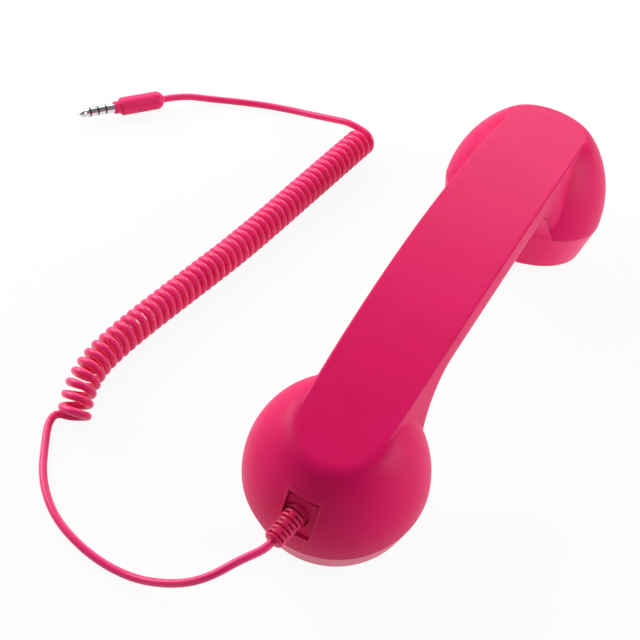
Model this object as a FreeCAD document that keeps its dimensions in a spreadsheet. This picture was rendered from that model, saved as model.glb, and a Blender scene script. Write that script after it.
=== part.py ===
"""Retro telephone handset, face down on its two cups, with a curly cord and a headset plug.

Millimetres. +Z is up, +X runs from the mouth cup to the ear cup, and the origin lies on the table
under the middle of the handle. Every driving size is a named cell of one spreadsheet.
"""
import FreeCAD
import Part
import Sketcher

import math
import os
import re

from FreeCAD import Placement, Rotation, Vector

SIZES = {
    "cup_radius": (30.0, "widest circle of a cup"),
    "cup_tilt": (15.0, "lean of a cup's axis away from upright, degrees"),
    "cup_offset": (78.0, "middle of the handset to the centre of a cup's widest circle"),
    "dome_height": (35.5, "widest circle to the top of the whole dome"),
    "dome_cut": (4.94, "how much the handle's top takes off the whole dome, along its axis"),
    "crown_less": (3.4, "how much less the radius of the dome's crown is than the widest circle"),
    "band_height": (13.0, "depth of the conical band under the widest circle"),
    "band_taper": (3.0, "how much the rim of that band is drawn in"),
    "shell_wall": (2.2, "wall of both shells"),
    "arch_radius": (400.0, "arc of the handle's top in side view"),
    "handle_half": (16.0, "half the width of the handle's top in the middle"),
    "handle_pinch": (2.9, "how much each side draws in towards the handle's ends"),
    "handle_run": (6.0, "how far the handle runs on past a cup's centre, inside the dome"),
    "handle_flare": (10.0, "outward lean of the handle's sides going down, degrees"),
    "handle_depth": (16.5, "thickness of the handle in the middle"),
    "under_radius": (430.0, "long arc of the handle's underside"),
    "under_corner": (16.0, "arc that turns the underside down into a cup"),
    "foot_sink": (4.0, "how far inside a cup's widest circle that arc stands upright"),
    "grip_round": (10.0, "rounding of the handle's lower edges"),
    "edge_round": (0.8, "rounding of the handle's top edges"),
    "nose_round": (7.0, "rounding where the handle's top runs out over a dome"),
    "part_lift": (4.2, "parting line above the handle's underside"),
    "seam_gap": (0.2, "gap between the two shells along the parting line"),
    "rim_width": (2.0, "width of the rim round a cap"),
    "cap_recess": (2.4, "depth of the recess a cap sits in"),
    "cap_thick": (2.0, "thickness of a cap"),
    "cap_edge": (0.8, "chamfer of a cap's edge"),
    "cap_gap": (0.15, "gap round a cap"),
    "floor_thick": (3.0, "floor that carries the speaker or the microphone"),
    "mouth_opening": (6.0, "radius of the hole in the mouth cup's floor"),
    "felt_lap": (2.0, "lap of a felt disc on the floor round its opening"),
    "felt_thick": (0.5, "thickness of a felt disc"),
    "felt_gap": (0.1, "gap round a felt disc in its cap"),
    "hole_radius": (1.0, "radius of a sound hole"),
    "ear_ring": (5.0, "spacing of the rings of sound holes in the ear cap"),
    "mouth_ring": (4.0, "radius of the ring of sound holes in the mouth cap"),
    "boss_inset": (3.5, "shell screw inside the edge of its cap's recess"),
    "boss_radius": (3.0, "radius of a screw boss"),
    "screw_radius": (1.2, "radius of a shell screw's shank"),
    "screw_head": (2.1, "radius of a shell screw's head"),
    "head_depth": (1.7, "height of a shell screw's head"),
    "head_sink": (0.1, "depth of a shell screw's head under the cap"),
    "screw_reach": (11.0, "length of a shell screw above its head"),
    "pilot_gap": (0.05, "gap round a screw in its pilot hole"),
    "pilot_spare": (0.4, "depth of a pilot hole beyond its screw"),
    "screw_gap": (0.2, "gap round a screw in the piece that it holds"),
    "speaker_room": (1.3, "gap between the speaker and a screw boss"),
    "speaker_depth": (5.6, "height of the basket"),
    "basket_lip": (1.2, "wall of the basket's rim"),
    "basket_rim": (1.6, "height of the basket's rim"),
    "basket_seat": (2.6, "width of the seat for the cone's rim"),
    "basket_lean": (3.4, "how much the basket draws in towards its back"),
    "basket_sheet": (1.0, "sheet of the basket"),
    "basket_vent": (5.1, "hole in the basket's back under the magnet"),
    "cone_film": (0.5, "film of the cone"),
    "cone_rise": (3.0, "depth of the cone"),
    "cone_cap": (5.0, "radius of the cap in the middle of the cone"),
    "cone_dip": (1.4, "depth of that cap"),
    "cone_gap": (0.15, "gap round the cone in its basket"),
    "magnet_radius": (8.5, "radius of the speaker's magnet"),
    "magnet_height": (4.4, "height of the speaker's magnet"),
    "magnet_edge": (0.5, "chamfer of the magnet"),
    "gasket_width": (2.2, "width of the speaker's gasket, and its lap on the floor"),
    "gasket_thick": (0.8, "thickness of the speaker's gasket"),
    "mic_radius": (4.8, "radius of the microphone capsule"),
    "mic_height": (5.8, "height of the microphone capsule"),
    "mic_edge": (0.4, "chamfer of the capsule"),
    "mic_rubber": (3.1, "wall of the rubber boot round the microphone"),
    "mic_floor": (1.2, "floor of that boot"),
    "mic_port": (2.4, "hole in that floor"),
    "mic_proud": (0.6, "how far the capsule stands out of its boot"),
    "mic_gap": (0.05, "gap round the capsule in its boot"),
    "button_place": (15.0, "middle of the handset to the call button"),
    "button_radius": (6.0, "radius of the call button"),
    "button_proud": (1.0, "how far the call button stands out of the underside"),
    "button_edge": (0.6, "chamfer of the call button"),
    "button_lip": (1.5, "flat lip round the dip in the call button"),
    "button_dip": (0.5, "depth of that dip"),
    "button_travel": (0.8, "stroke of the call button"),
    "button_gap": (0.3, "gap round the call button"),
    "guide_width": (2.4, "width of the ring that guides the call button"),
    "guide_rise": (0.5, "height of that ring above the wall"),
    "flange_gap": (0.1, "gap between the button's flange and its guide"),
    "flange_lap": (1.4, "lap of the button's flange over its guide"),
    "flange_thick": (1.0, "thickness of the button's flange"),
    "board_rise": (8.1, "underside of the handle to the underside of the board"),
    "board_length": (40.0, "length of the board"),
    "board_width": (15.0, "width of the board"),
    "board_thick": (1.2, "thickness of the board"),
    "post_pitch": (16.0, "distance of a board screw from the button"),
    "post_radius": (2.6, "radius of a board post"),
    "post_screw": (0.95, "radius of a board screw"),
    "post_grip": (4.5, "length of a board screw under the board"),
    "post_head": (1.8, "radius of a board screw's head"),
    "post_head_depth": (1.0, "height of a board screw's head"),
    "switch_side": (6.0, "side of the switch"),
    "switch_cover": (0.3, "sheet of the switch against the board"),
    "plunger_radius": (1.75, "radius of the switch's plunger"),
    "plunger_gap": (0.2, "gap round the plunger, and what is left of its room at full press"),
    "pocket_half": (5.25, "half the width of the pocket for the cord boot"),
    "pocket_low": (9.5, "lower edge of the pocket above the widest circle"),
    "pocket_high": (23.3, "upper edge of the pocket above the widest circle"),
    "pocket_deep": (8.0, "floor of the pocket inside the widest circle"),
    "pocket_back": (2.0, "thickness of the pocket's floor"),
    "pocket_wall": (1.8, "wall round the pocket"),
    "bead_width": (0.7, "width of the raised bead round the pocket"),
    "bead_rise": (0.35, "height of that bead"),
    "anchor_seat": (2.7, "thickness of the anchor's collar in the pocket"),
    "anchor_lap": (0.4, "how far that collar stands out round the boot"),
    "anchor_neck": (3.1, "radius of the anchor in the pocket's floor"),
    "anchor_gap": (0.1, "gap round it there"),
    "anchor_flange": (4.6, "radius of the anchor's flange behind the floor"),
    "anchor_back": (1.4, "thickness of that flange"),
    "boot_rise": (15.5, "height of the cord boot above the widest circle"),
    "boot_aside": (0.9, "how far the boot stands to one side in its pocket"),
    "boot_yaw": (10.0, "sideways bend of the cord boot, degrees"),
    "boot_base": (3.75, "radius of the boot at the shell"),
    "boot_tip": (3.2, "radius of the boot at the cord"),
    "boot_edge": (0.5, "chamfer of the boot's end"),
    "boot_length": (12.0, "length of the ribbed boot"),
    "boot_core": (2.1, "radius of the boot between its ribs"),
    "slot_first": (0.5, "start of the first slot between two ribs"),
    "slot_pitch": (1.62, "slot to slot"),
    "slot_width": (0.8, "width of a slot"),
    "slot_bar": (0.9, "half the width of the bars that join the ribs"),
    "cord_radius": (1.35, "radius of the cord"),
    "coil_radius": (4.35, "radius of the curls, to the middle of the cord"),
    "coil_pitch": (3.28, "advance per curl where the coil is closed"),
    "coil_loose": (2.2, "extra advance per curl at the near end"),
    "coil_lean": (40.0, "how far the first curl leans back over the near end, degrees"),
    "coil_settle": (10.0, "half curls in which the near end settles"),
    "lead_radius": (0.8, "radius of a lead inside the handset"),
    "lead_gap": (0.05, "gap between a lead and the board"),
    "plug_radius": (3.5, "radius of the plug's body"),
    "plug_length": (17.5, "length of the plug's body"),
    "plug_rear": (1.8, "radius of the flat at the plug's rear"),
    "plug_shoulder": (2.6, "length of the rounded rear"),
    "plug_round": (3.0, "arc of the rounded rear"),
    "plug_edge": (0.7, "chamfer at the plug's front"),
    "collar_radius": (2.4, "radius of the plug's collar"),
    "collar_length": (2.6, "length of the plug's collar"),
    "collar_edge": (0.3, "chamfer of the collar"),
    "pin_radius": (1.75, "radius of the plug's pin"),
    "pin_length": (14.0, "length of the plug's pin"),
    "sleeve_length": (3.2, "length of the pin's sleeve"),
    "ring_length": (2.56, "length of a ring of the pin"),
    "ring_gap": (0.6, "length of an insulator"),
    "tip_root": (0.5, "plain start of the pin's tip"),
    "tip_fall": (0.8, "length of the slope into the groove of the tip"),
    "tip_swell": (1.0, "length of the slope out of the groove"),
    "groove_depth": (0.45, "depth of the groove in the pin's tip"),
    "swell_less": (0.05, "how much thinner the tip is in front of the groove"),
    "tip_end": (0.7, "radius of the flat at the tip's end"),
}
BOOT_SLOTS = 7

# The free cord from the end of its boot to the plug: x and y from that end, z from the table.
LEAD_ROUTE = [(-9.3, 5.6, 22.2), (-15.8, 10.9, 17.5), (-18.6, 17.0, 12.2), (-19.6, 24.6, 7.0),
              (-20.3, 32.8, 3.4), (-20.1, 41.0, 1.7), (-19.3, 49.0, 1.35), (-17.3, 57.2, 1.35),
              (-13.8, 65.7, 1.35), (-8.0, 73.5, 1.35), (-0.4, 80.0, 1.35), (8.0, 84.6, 1.35),
              (15.2, 87.7, 1.35)]
CURL_AXIS = [(21.6, 82.3), (27.0, 85.1), (36.6, 88.1), (47.5, 89.0), (59.9, 87.5), (70.4, 85.8),
             (80.5, 83.9), (97.6, 80.6), (115.9, 77.0), (135.6, 73.9), (156.2, 71.2), (173.7, 68.8),
             (190.0, 66.6), (201.5, 65.0)]
TAIL_ROUTE = [(202.6, 76.1, 9.0), (202.7, 81.2, 7.5), (202.8, 86.0, 6.0), (202.9, 91.3, 4.5),
              (202.8, 96.5, 3.2), (202.1, 101.4, 2.3), (201.0, 106.1, 1.7), (199.3, 110.6, 1.4),
              (195.0, 119.1, 1.35), (190.1, 127.2, 1.6)]
PLUG_REAR = (176.8, 140.4)
PLUG_WAY = (-0.79, 0.613)
PLUG_LEAD = 8.6
LEAD_OUT = 3.2

doc = FreeCAD.newDocument("handset")
sheet = doc.addObject("Spreadsheet::Sheet", "size")
for row, (alias, (amount, note)) in enumerate(SIZES.items(), 1):
    sheet.set(f"A{row}", note)
    sheet.set(f"B{row}", str(amount))
    sheet.setAlias(f"B{row}", alias)
doc.recompute()
pieces = []


def mm(text):
    """Value of an expression in the names of the spreadsheet."""
    amount = sheet.evalExpression(text)
    return float(getattr(amount, "Value", amount))


def linked(text):
    """The same expression as another object has to write it."""
    return re.sub(r"[a-z_]+", lambda word: f"size.{word[0]}" if word[0] in SIZES else word[0], text)


def keep(item, label):
    """Name a finished sub-part and put it on the list of files."""
    item.Label = label
    pieces.append(item)
    return item


def arc_edge(start, end, radius):
    """Arc of less than half a turn; a positive radius runs anticlockwise from start to end."""
    chord = end - start
    side = Vector(-chord.y, chord.x, 0).normalize() * math.copysign(1, radius)
    depth = math.sqrt(max(radius ** 2 - chord.Length ** 2 / 4, 0))
    centre = (start + end) / 2 + side * depth
    first, last = (start, end) if radius > 0 else (end, start)
    angles = [math.atan2(spot.y - centre.y, spot.x - centre.x) for spot in (first, last)]
    return Part.ArcOfCircle(Part.Circle(centre, Vector(0, 0, 1), abs(radius)), *angles)


def outline(body, plane, points, arcs=None, lift="0"):
    """Closed sketch through points whose coordinates are bound to the spreadsheet."""
    arcs = arcs or {}
    sketch = body.newObject("Sketcher::SketchObject", body.Name + "_outline")
    sketch.AttachmentSupport = ([flat for flat in body.Origin.OriginFeatures if flat.Role == plane][0],
                                [""])
    sketch.MapMode = "FlatFace"
    if lift != "0":
        sketch.setExpression("AttachmentOffset.Base.z", linked(lift))
    spots = [Vector(mm(across), mm(along), 0) for across, along in points]
    count = len(spots)
    heads, tails = [1] * count, [2] * count
    for index, spot in enumerate(spots):
        following = spots[(index + 1) % count]
        if index in arcs:
            radius = mm(arcs[index])
            sketch.addGeometry(arc_edge(spot, following, radius))
            if radius < 0:
                heads[index], tails[index] = 2, 1
        else:
            sketch.addGeometry(Part.LineSegment(spot, following))
    for index in range(count):
        following = (index + 1) % count
        sketch.addConstraint(Sketcher.Constraint("Coincident", index, tails[index], following,
                                                 heads[following]))
        for kind, axis, text in (("DistanceX", -2, points[index][0]),
                                 ("DistanceY", -1, points[index][1])):
            if text == "0":
                sketch.addConstraint(Sketcher.Constraint("PointOnObject", index, heads[index], axis))
                continue
            rule = sketch.addConstraint(Sketcher.Constraint(kind, -1, 1, index, heads[index], mm(text)))
            sketch.renameConstraint(rule, f"{kind[-1].lower()}_{index}")
            sketch.setExpression(f"Constraints.{kind[-1].lower()}_{index}", linked(text))
        if index in arcs:
            rule = sketch.addConstraint(Sketcher.Constraint("Radius", index, abs(mm(arcs[index]))))
            sketch.renameConstraint(rule, f"radius_{index}")
            sketch.setExpression(f"Constraints.radius_{index}", linked(f"abs({arcs[index]})"))
    return sketch


def turned(name, points, arcs=None, place=None):
    """Body turned about its own Z axis from a half outline (radius, height)."""
    body = doc.addObject("PartDesign::Body", name)
    sketch = outline(body, "XZ_Plane", points, arcs)
    spin = body.newObject("PartDesign::Revolution", name + "_turn")
    spin.Profile = sketch
    spin.ReferenceAxis = (sketch, ["V_Axis"])
    spin.Angle = 360
    body.Tip = spin
    body.Placement = place or Placement()
    return body


def padded(name, plane, points, length, arcs=None, lift="0", taper=None, down=False, both=False,
           place=None):
    """Body pushed out of a flat outline, to both sides or to one, with or without a lean."""
    body = doc.addObject("PartDesign::Body", name)
    sketch = outline(body, plane, points, arcs, lift)
    push = body.newObject("PartDesign::Pad", name + "_push")
    push.Profile = sketch
    push.setExpression("Length", linked(length))
    push.SideType = "Symmetric" if both else "One side"
    push.Reversed = down
    if taper:
        push.setExpression("TaperAngle", linked(taper))
    body.Tip = push
    body.Placement = place or Placement()
    return body


def drilled(body, name, radius, ring, count):
    """Holes through a body on a ring about its Z axis."""
    sketch = body.newObject("Sketcher::SketchObject", name)
    flats = {flat.Role: flat for flat in body.Origin.OriginFeatures}
    sketch.AttachmentSupport = (flats["XY_Plane"], [""])
    sketch.MapMode = "FlatFace"
    sketch.addGeometry(Part.Circle(Vector(mm(ring), 0, 0), Vector(0, 0, 1), mm(radius)))
    sketch.addConstraint(Sketcher.Constraint("PointOnObject", 0, 3, -1))
    for rule, text in ((Sketcher.Constraint("DistanceX", -1, 1, 0, 3, mm(ring)), ring),
                       (Sketcher.Constraint("Radius", 0, mm(radius)), radius)):
        index = sketch.addConstraint(rule)
        sketch.renameConstraint(index, f"hole_{index}")
        sketch.setExpression(f"Constraints.hole_{index}", linked(text))
    hole = body.newObject("PartDesign::Pocket", name + "_hole")
    hole.Profile = sketch
    hole.Type = "ThroughAll"
    hole.SideType = "Symmetric"
    spread = body.newObject("PartDesign::PolarPattern", name + "_ring")
    spread.Originals = [hole]
    spread.Axis = (sketch, ["N_Axis"])
    spread.Angle = 360
    spread.Occurrences = count
    body.Tip = spread
    return body


def block(name, lows, highs, place=None):
    """Box between two corners written as expressions."""
    box = doc.addObject("Part::Box", name)
    for side, low, high in zip(("Length", "Width", "Height"), lows, highs):
        box.setExpression(side, linked(f"({high}) - ({low})"))
    box.Placement = (place or Placement()) * Placement(Vector(*(mm(low) for low in lows)), Rotation())
    return box


def joined(name, items):
    """One shape from several."""
    union = doc.addObject("Part::MultiFuse", name)
    union.Shapes = items
    union.Refine = False
    return union


def shared(name, items):
    """What several shapes have in common."""
    overlap = doc.addObject("Part::MultiCommon", name)
    overlap.Shapes = items
    overlap.Refine = False
    return overlap


def cut(name, base, items):
    """A shape without several others."""
    rest = doc.addObject("Part::Cut", name)
    rest.Base = base
    rest.Refine = False
    rest.Tool = items[0] if len(items) == 1 else joined(name + "_tools", items)
    return rest


def rounded(name, base, radius, wanted):
    """A shape with the edges that pass a test on all their points rounded."""
    doc.recompute()
    rule = doc.addObject("Part::Fillet", name)
    rule.Base = base
    edges = [index for index, edge in enumerate(base.Shape.Edges, 1)
             if all(wanted(spot) for spot in edge.discretize(7))]
    rule.Edges = [(index, mm(radius), mm(radius)) for index in edges]
    return rule


# Placements: a frame per cup (Z along the cup's axis, Y across), the pocket, the boot and the plug.
RIM_RADIUS = "(cup_radius - band_taper)"
EQUATOR = f"(band_height * cos(cup_tilt) + {RIM_RADIUS} * sin(cup_tilt))"
POCKET_FLOOR = "(cup_radius - pocket_deep)"
CUPS = {side: Placement(Vector(sign * mm("cup_offset"), 0, mm(EQUATOR)),
                        Rotation(Vector(0, 1, 0), sign * mm("cup_tilt")))
        for side, sign in (("mouth", -1), ("ear", 1))}
POCKET = (CUPS["mouth"]
          * Placement(Vector(-mm(POCKET_FLOOR), mm("boot_aside"), mm("boot_rise")), Rotation())
          * Placement(Vector(), Rotation(Vector(0, 1, 0), -90)))
BOOT = POCKET * Placement(Vector(0, 0, mm("anchor_seat")), Rotation(Vector(1, 0, 0), -mm("boot_yaw")))


def aside(place, across, along, up):
    """A placement shifted in its own axes."""
    return place * Placement(Vector(across, along, up), Rotation())


def point(place, across, along, up):
    """World position of a point of a frame."""
    return place.multVec(Vector(across, along, up))


BOOT_END = point(BOOT, 0, 0, mm("boot_length"))
CORD_FRAME = Placement(Vector(BOOT_END.x, BOOT_END.y, 0), Rotation())
PLUG = (aside(CORD_FRAME, *PLUG_REAR, mm("plug_radius"))
        * Placement(Vector(), Rotation(Vector(0, 0, 1), Vector(*PLUG_WAY, 0))))

# The handle's top passes through a point on each cup's axis, and its underside is two kinds of arc.
CUT_HEIGHT = "(dome_height - dome_cut)"
CUT_REACH = f"(cup_offset + {CUT_HEIGHT} * sin(cup_tilt))"
TOP = (f"({EQUATOR} + {CUT_HEIGHT} * cos(cup_tilt) + arch_radius"
       f" - sqrt(arch_radius^2 - {CUT_REACH}^2))")
REACH = "(cup_offset + handle_run)"
UPRIGHT = "(cup_offset - cup_radius + foot_sink)"
RUN = f"({UPRIGHT} - under_corner)"
RISE = f"sqrt((under_radius - under_corner)^2 - {RUN}^2)"
UNDER = f"({TOP} - handle_depth)"
FOOT = f"({UNDER} - under_radius + {RISE})"
FAR = "(cup_offset + 2 * cup_radius)"
WIDE = "(4 * cup_radius)"


def underside(wall):
    """Left and right halves of the underside's outline raised by a wall, and its arcs."""
    long_arc = f"(under_radius + {wall})"
    turn = f"({long_arc} * {RUN} / (under_radius - under_corner))"
    height = f"({UNDER} - under_radius + {long_arc} * {RISE} / (under_radius - under_corner))"
    upright = f"({UPRIGHT} + {wall})"
    return ([(f"-{upright}", FOOT), (f"-{turn}", height)], [(turn, height), (upright, FOOT)],
            (f"-(under_corner + {wall})", f"-{long_arc}", f"-(under_corner + {wall})"))


def under_arc(spot):
    """True on the underside of the handle, at full size or drawn in by half the wall or the wall."""
    turn = mm(f"under_radius * {RUN} / (under_radius - under_corner)")
    if abs(spot.x) <= turn + 0.5:
        off = math.hypot(spot.x, spot.z - mm(f"{UNDER} - under_radius")) - mm("under_radius")
    else:
        off = math.hypot(abs(spot.x) - mm(RUN), spot.z - mm(FOOT)) - mm("under_corner")
    insets = (0, mm("shell_wall / 2"), mm("shell_wall"))
    return min(abs(off - inset) for inset in insets) < 0.05 and abs(spot.y) > mm("handle_half / 4")


def on_arch(spot):
    """True on the arched top of the handle."""
    return abs(math.hypot(spot.x, spot.z - mm(f"{TOP} - arch_radius")) - mm("arch_radius")) < 0.02


def on_edge(spot):
    """True on the long edges of the arched top."""
    return on_arch(spot) and abs(spot.y) > mm("handle_half / 4")


def cup_form(name, side, wall, floor):
    """Dome, band and floor of one cup, drawn in by a wall."""
    crown = "(dome_height - cup_radius + crown_less)"
    shift = f"(({crown}^2 - crown_less^2) / (2 * crown_less))"
    flank, reach = f"(cup_radius + {shift} - {wall})", f"(cup_radius - {wall})"
    height = f"(dome_height - {wall})"
    span = f"sqrt({shift}^2 + {crown}^2)"
    rim = f"{reach} - band_taper * ({floor}) / band_height"
    points = [("0", f"-({floor})"), (rim, f"-({floor})"), (reach, "0"),
              (f"{flank} * {shift} / {span} - {shift}", f"{flank} * {crown} / {span}"), ("0", height)]
    return turned(name, points, {2: flank, 3: f"{height} - {crown}"}, CUPS[side])


def handset_form(name, wall, floor, soft=False):
    """The whole handset as one solid, drawn in by a wall, with or without its rounded top."""
    half, end = f"(handle_half - {wall})", f"(handle_half - handle_pinch - {wall})"
    swell = f"({REACH}^2 + handle_pinch^2) / (2 * handle_pinch)"
    plan = padded(name + "_plan", "XY_Plane",
                  [(f"-{REACH}", f"-{end}"), ("0", f"-{half}"), (REACH, f"-{end}"), (REACH, end),
                   ("0", half),
                   (f"-{REACH}", end)],
                  f"{TOP} - {FOOT} + shell_wall", {0: swell, 1: swell, 3: swell, 4: swell}, lift=TOP,
                  taper="handle_flare", down=True)
    left, right, bends = underside(wall)
    side = padded(name + "_side", "XZ_Plane",
                  [(f"-{REACH}", FOOT)] + left + right + [(REACH, FOOT), (REACH, TOP),
                                                          (f"-{REACH}", TOP)],
                  WIDE, dict(enumerate(bends, 1)), both=True)
    bar = rounded(name + "_bar", shared(name + "_block", [plan, side]), f"grip_round - {wall}", under_arc)
    arc = f"(arch_radius - {wall})"
    edge = f"({TOP} - arch_radius + sqrt({arc}^2 - {FAR}^2))"
    arch = padded(name + "_arch", "XZ_Plane",
                  [(f"-{FAR}", f"-{FAR}"), (FAR, f"-{FAR}"), (FAR, edge), (f"-{FAR}", edge)],
                  WIDE, {2: arc}, both=True)
    handle = shared(name + "_handle", [bar, arch])
    cups = [shared(f"{name}_{cup}",
                   [cup_form(f"{name}_{cup}_whole", cup, wall, floor), arch]) for cup in CUPS]
    if soft:
        handle = rounded(name + "_edges", handle, "edge_round", on_edge)
        cups = [rounded(cup.Name + "_nose", cup, "nose_round", on_arch) for cup in cups]
    return joined(name, cups + [handle])


FLOOR_TOP = "(band_height - cap_recess - floor_thick)"
skin = handset_form("skin", "0", "band_height", soft=True)
shell = cut("shell", skin, [handset_form("hollow", "shell_wall", FLOOR_TOP)])
core = handset_form("core", "(shell_wall / 2)", "band_height")


def above_parting(name, drop):
    """Everything above the parting line lowered by a gap: over the cups and round the underside."""
    low, peak = (f"({EQUATOR} + (cup_offset - {spot}) * tan(cup_tilt) - {drop})" for spot in (FAR, "0"))
    over = padded(name + "_over", "XZ_Plane",
                  [(f"-{FAR}", low), ("0", peak), (FAR, low), (FAR, FAR), (f"-{FAR}", FAR)], WIDE,
                  both=True)
    left, right, bends = underside(f"(part_lift - {drop})")
    below = padded(name + "_below", "XZ_Plane",
                   [(left[0][0], f"-{FAR}")] + left + right + [(right[1][0], f"-{FAR}")],
                   WIDE, dict(enumerate(bends, 1)), both=True)
    return cut(name, over, [below])


# Cup fittings are written as (radius, height) in the frame of their cup.
SEAT, RIM = "(band_height - cap_recess)", "band_height"
CAP_SEAT = f"({RIM_RADIUS} - rim_width)"
HEAD_SEAT = f"({SEAT} - head_sink - head_depth)"
BOSS_RING = f"({CAP_SEAT} - boss_inset)"
SPEAKER = f"({BOSS_RING} - boss_radius - speaker_room)"
OPENING = {"ear": f"({SPEAKER} - gasket_width)", "mouth": "mouth_opening"}
SCREW_TIP = f"(screw_reach - {HEAD_SEAT})"
BELOW, ABOVE = f"-{RIM} - 1", f"1 - {FLOOR_TOP}"
well = shared("well",
              [core,
               block("well_box",
                     ("-cup_radius", "-pocket_half - pocket_wall", "pocket_low - pocket_wall"),
                                   (f"pocket_back - {POCKET_FLOOR}", "pocket_half + pocket_wall",
                                    "pocket_high + pocket_wall"), CUPS["mouth"])])
bead_box = block("bead_box", ("-2 * cup_radius", "-pocket_half - bead_width", "pocket_low - bead_width"),
                 (f"pocket_back - {POCKET_FLOOR}", "pocket_half + bead_width",
                  "pocket_high + bead_width"),
                 CUPS["mouth"])
bead = cut("bead",
           shared("bead_skin",
                  [cup_form("bead_dome", "mouth", "(0 - bead_rise)", "band_height"), bead_box]),
           [core])
pocket = block("pocket", ("-2 * cup_radius", "-pocket_half", "pocket_low"),
               (f"-{POCKET_FLOOR}", "pocket_half", "pocket_high"), CUPS["mouth"])
boot_bore = turned("boot_bore",
                   [("0", "-pocket_back - 1"), ("anchor_neck + anchor_gap", "-pocket_back - 1"),
                                 ("anchor_neck + anchor_gap", "1"), ("0", "1")], place=POCKET)
bosses, pilots, sinks, screws = [], [], [], []
for side, frame in CUPS.items():
    for hand in (-1, 1):
        spot, tag = aside(frame, 0, hand * mm(BOSS_RING), 0), f"{side}_{'left' if hand > 0 else 'right'}"
        bosses.append(turned("boss_" + tag, [("0", f"-{FLOOR_TOP}"), ("boss_radius", f"-{FLOOR_TOP}"),
                                             ("boss_radius", "dome_height"), ("0", "dome_height")],
                             place=spot))
        pilots.append(turned("pilot_" + tag, [("0", BELOW), ("screw_radius + pilot_gap", BELOW),
                                              ("screw_radius + pilot_gap", f"{SCREW_TIP} + pilot_spare"),
                                              ("0", f"{SCREW_TIP} + pilot_spare")], place=spot))
        sinks.append(turned("sink_" + tag, [("0", BELOW), ("screw_head + screw_gap", BELOW),
                                            ("screw_head + screw_gap", f"-{HEAD_SEAT}"),
                                            ("screw_radius + screw_gap", f"-{HEAD_SEAT}"),
                                            ("screw_radius + screw_gap", ABOVE), ("0", ABOVE)],
                            place=spot))
        screws.append(turned("screw_" + tag, [("0", f"-{HEAD_SEAT} - head_depth"),
                                              ("screw_head", f"-{HEAD_SEAT} - head_depth"),
                                              ("screw_head", f"-{HEAD_SEAT}"),
                                              ("screw_radius", f"-{HEAD_SEAT}"),
                                              ("screw_radius", SCREW_TIP), ("0", SCREW_TIP)], place=spot))
keep(joined("shell_screws", screws), "shell_screws")

bossed = joined("bossed", [shared("outer_raw", [shell, above_parting("above", "0")]),
                           shared("bosses", [joined("boss_set", bosses), core])])
outer = joined("outer", [joined("welled", [bossed, well]), bead])
keep(cut("outer_shell", outer, pilots + [pocket, boot_bore]), "outer_shell")

WELL = "(button_radius + button_gap)"
GUIDE = f"({UNDER} + shell_wall + guide_rise)"
BOARD = f"({UNDER} + board_rise)"
POST_TIP = f"({BOARD} - post_grip)"
button_spot = Placement(Vector(mm("button_place"), 0, 0), Rotation())
post_spots = [aside(button_spot, hand * mm("post_pitch"), 0, 0) for hand in (-1, 1)]
guide = turned("guide",
               [("0", FOOT), (f"{WELL} + guide_width", FOOT), (f"{WELL} + guide_width", GUIDE),
                ("0", GUIDE)],
               place=button_spot)
posts = [turned(f"post_{index}", [("0", FOOT), ("post_radius", FOOT), ("post_radius", BOARD),
                                  ("post_screw + pilot_gap", BOARD),
                                  ("post_screw + pilot_gap", f"{POST_TIP} - pilot_spare"),
                                  ("0", f"{POST_TIP} - pilot_spare")], place=spot)
         for index, spot in enumerate(post_spots)]
button_hole = turned("button_hole", [("0", FOOT), (WELL, FOOT), (WELL, BOARD), ("0", BOARD)],
                     place=button_spot)
recesses = [turned(f"recess_{side}", [("0", BELOW), (CAP_SEAT, BELOW), (CAP_SEAT, f"-{SEAT}"),
                                      (OPENING[side], f"-{SEAT}"), (OPENING[side], ABOVE), ("0", ABOVE)],
                   place=frame)
            for side, frame in CUPS.items()]
fixings = shared("fixings", [joined("fixing_set", [guide] + posts), core])
inner = joined("inner", [cut("inner_raw", shell, [above_parting("above_gap", "seam_gap")]), fixings])
keep(cut("inner_shell", inner, recesses + sinks + [button_hole]), "inner_shell")

CAP_EDGE = f"{CAP_SEAT} - cap_gap"
for side, rings in (("ear", (("ear_ring", 6), ("2 * ear_ring", 12))), ("mouth", (("mouth_ring", 6),))):
    felt, back, frame = f"{OPENING[side]} + felt_lap", f"-{SEAT}", CUPS[side]
    face, ledge = f"{back} - cap_thick", f"{back} - felt_thick"
    cap = turned(f"{side}_cap", [("hole_radius", face), (f"{CAP_EDGE} - cap_edge", face),
                                 (CAP_EDGE, f"{face} + cap_edge"), (CAP_EDGE, back),
                                 (f"{felt} + felt_gap", back),
                                 (f"{felt} + felt_gap", ledge), ("hole_radius", ledge)], place=frame)
    for ring, count in rings:
        drilled(cap, f"{side}_sound_{count}", "hole_radius", ring, count)
    keep(cap, f"{side}_cap")
    keep(turned(f"{side}_felt", [("0", ledge), (felt, ledge), (felt, back), ("0", back)], place=frame),
         f"{side}_felt")

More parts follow.
